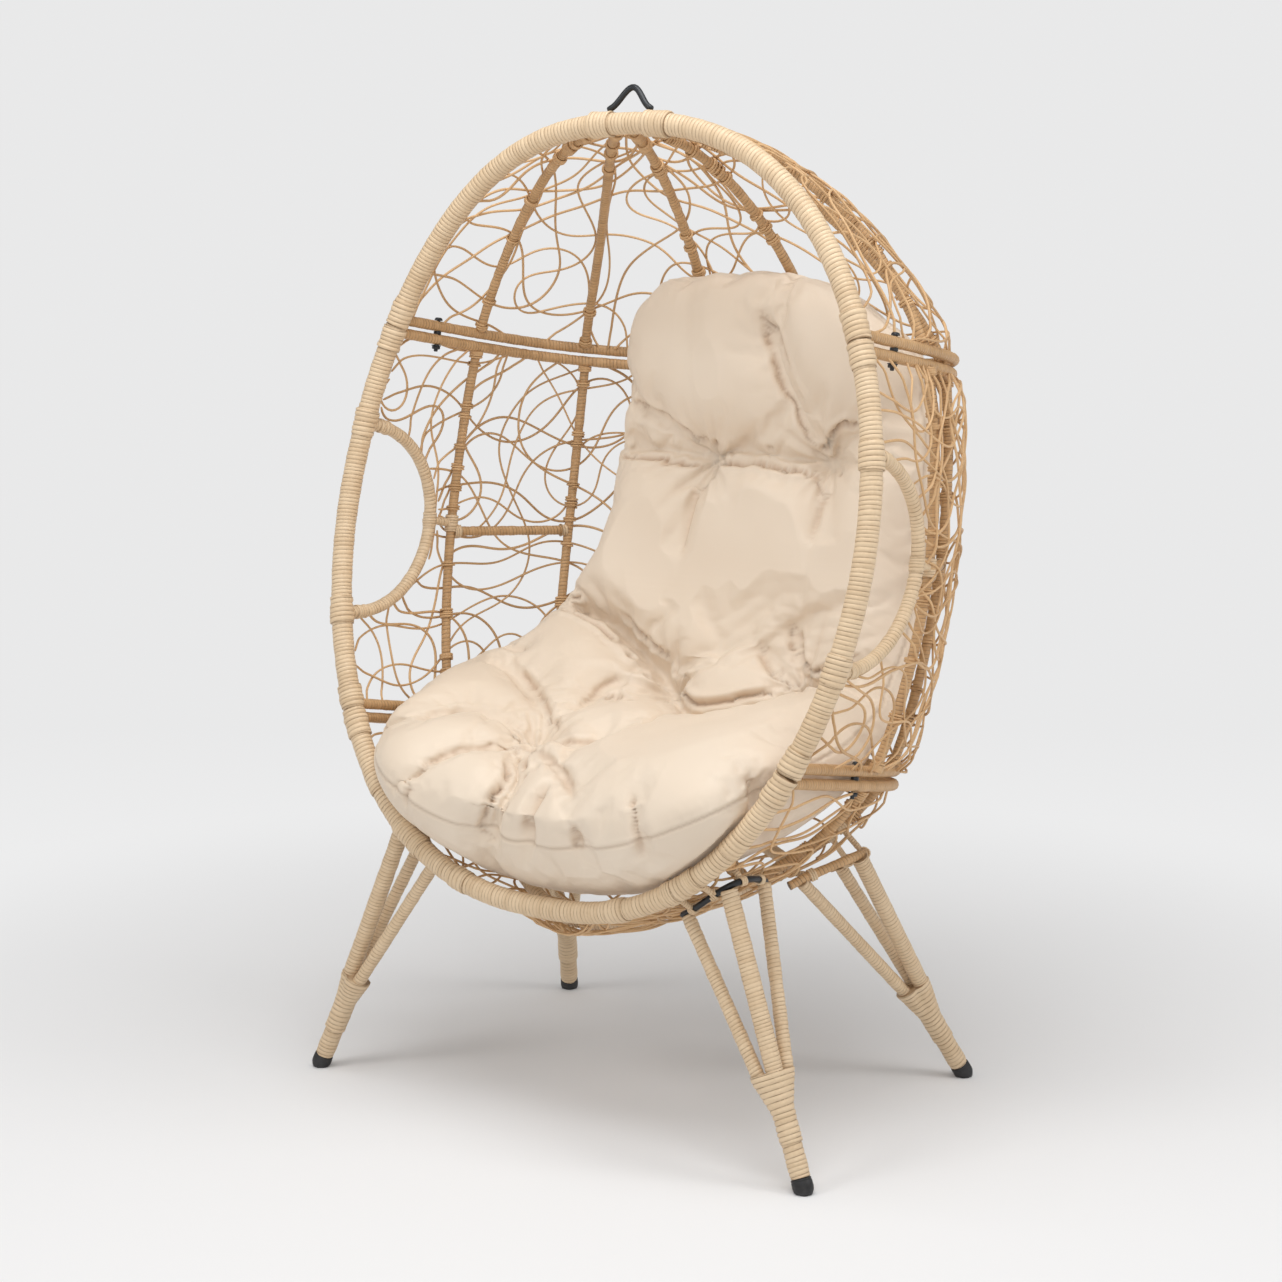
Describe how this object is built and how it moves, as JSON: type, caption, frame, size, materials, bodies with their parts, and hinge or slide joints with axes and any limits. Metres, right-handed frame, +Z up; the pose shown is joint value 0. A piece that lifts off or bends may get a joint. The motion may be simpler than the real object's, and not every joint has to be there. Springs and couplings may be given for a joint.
{
  "type": "wicker egg chair",
  "caption": "Free-standing wicker egg chair: openwork egg shell with arm hoops on tripod legs, small top loop and a loose tufted cushion.",
  "frame": {"origin": "bottom centre of the whole chair's bounding box, on the floor", "axes": "+Z up, the open face of the egg looks along -Y, +X is the sitter's left hand side"},
  "size_m": [0.9318, 0.6381, 1.4477],
  "materials": {
    "wrapped_cane": "satin, wound with flat synthetic cane",
    "woven_strands": "satin synthetic strands woven openwork",
    "black_steel": "satin black powder coat",
    "foot_plastic": "matte black",
    "fabric_cushion": "smooth polyester with a slight sheen"
  },
  "bodies": {
    "chair": {"arm_hoop_left": "wrapped_cane", "arm_hoop_right": "wrapped_cane", "arm_rod_left": "wrapped_cane", "arm_rod_right": "wrapped_cane", "base_ring": "wrapped_cane", "bowl_rib_back_left": "wrapped_cane", "bowl_rib_back_right": "wrapped_cane", "bowl_rib_corner_left": "wrapped_cane", "bowl_rib_corner_right": "wrapped_cane", "bowl_rib_side_left": "wrapped_cane", "bowl_rib_side_right": "wrapped_cane", "bowl_seam_ring": "wrapped_cane", "bowl_strut_left": "wrapped_cane", "bowl_strut_right": "wrapped_cane", "bowl_weave": "woven_strands", "cap_rib_back_left": "wrapped_cane", "cap_rib_back_right": "wrapped_cane", "cap_rib_corner_left": "wrapped_cane", "cap_rib_corner_right": "wrapped_cane", "cap_rib_side_left": "wrapped_cane", "cap_rib_side_right": "wrapped_cane", "cap_seam_ring": "wrapped_cane", "cap_weave": "woven_strands", "foot_cap_back_left": "foot_plastic", "foot_cap_back_right": "foot_plastic", "foot_cap_front_left": "foot_plastic", "foot_cap_front_right": "foot_plastic", "hanging_loop": "black_steel", "leg_back_left": "wrapped_cane", "leg_back_right": "wrapped_cane", "leg_bar_back_left": "black_steel", "leg_bar_back_right": "black_steel", "leg_bar_front_left": "black_steel", "leg_bar_front_right": "black_steel", "leg_front_left": "wrapped_cane", "leg_front_right": "wrapped_cane", "middle_lower_ring": "wrapped_cane", "middle_rib_back_left": "wrapped_cane", "middle_rib_back_right": "wrapped_cane", "middle_rib_corner_left": "wrapped_cane", "middle_rib_corner_right": "wrapped_cane", "middle_rib_side_left": "wrapped_cane", "middle_rib_side_right": "wrapped_cane", "middle_upper_ring": "wrapped_cane", "middle_weave": "woven_strands", "rim_bottom_arc": "wrapped_cane", "rim_side_left": "wrapped_cane", "rim_side_right": "wrapped_cane", "rim_top_arc": "wrapped_cane", "seam_bolt_lower_back_left": "black_steel", "seam_bolt_lower_back_right": "black_steel", "seam_bolt_lower_side_left": "black_steel", "seam_bolt_lower_side_right": "black_steel", "seam_bolt_upper_back_left": "black_steel", "seam_bolt_upper_back_right": "black_steel", "seam_bolt_upper_side_left": "black_steel", "seam_bolt_upper_side_right": "black_steel"},
    "cushion": {"cushion": "fabric_cushion"}
  },
  "joints": [
    {"name": "cushion_lift_out", "type": "slide", "parent": "chair", "child": "cushion", "axis": [0, -0.9239, 0.3827], "range_m": [0, 0.7]}
  ]
}
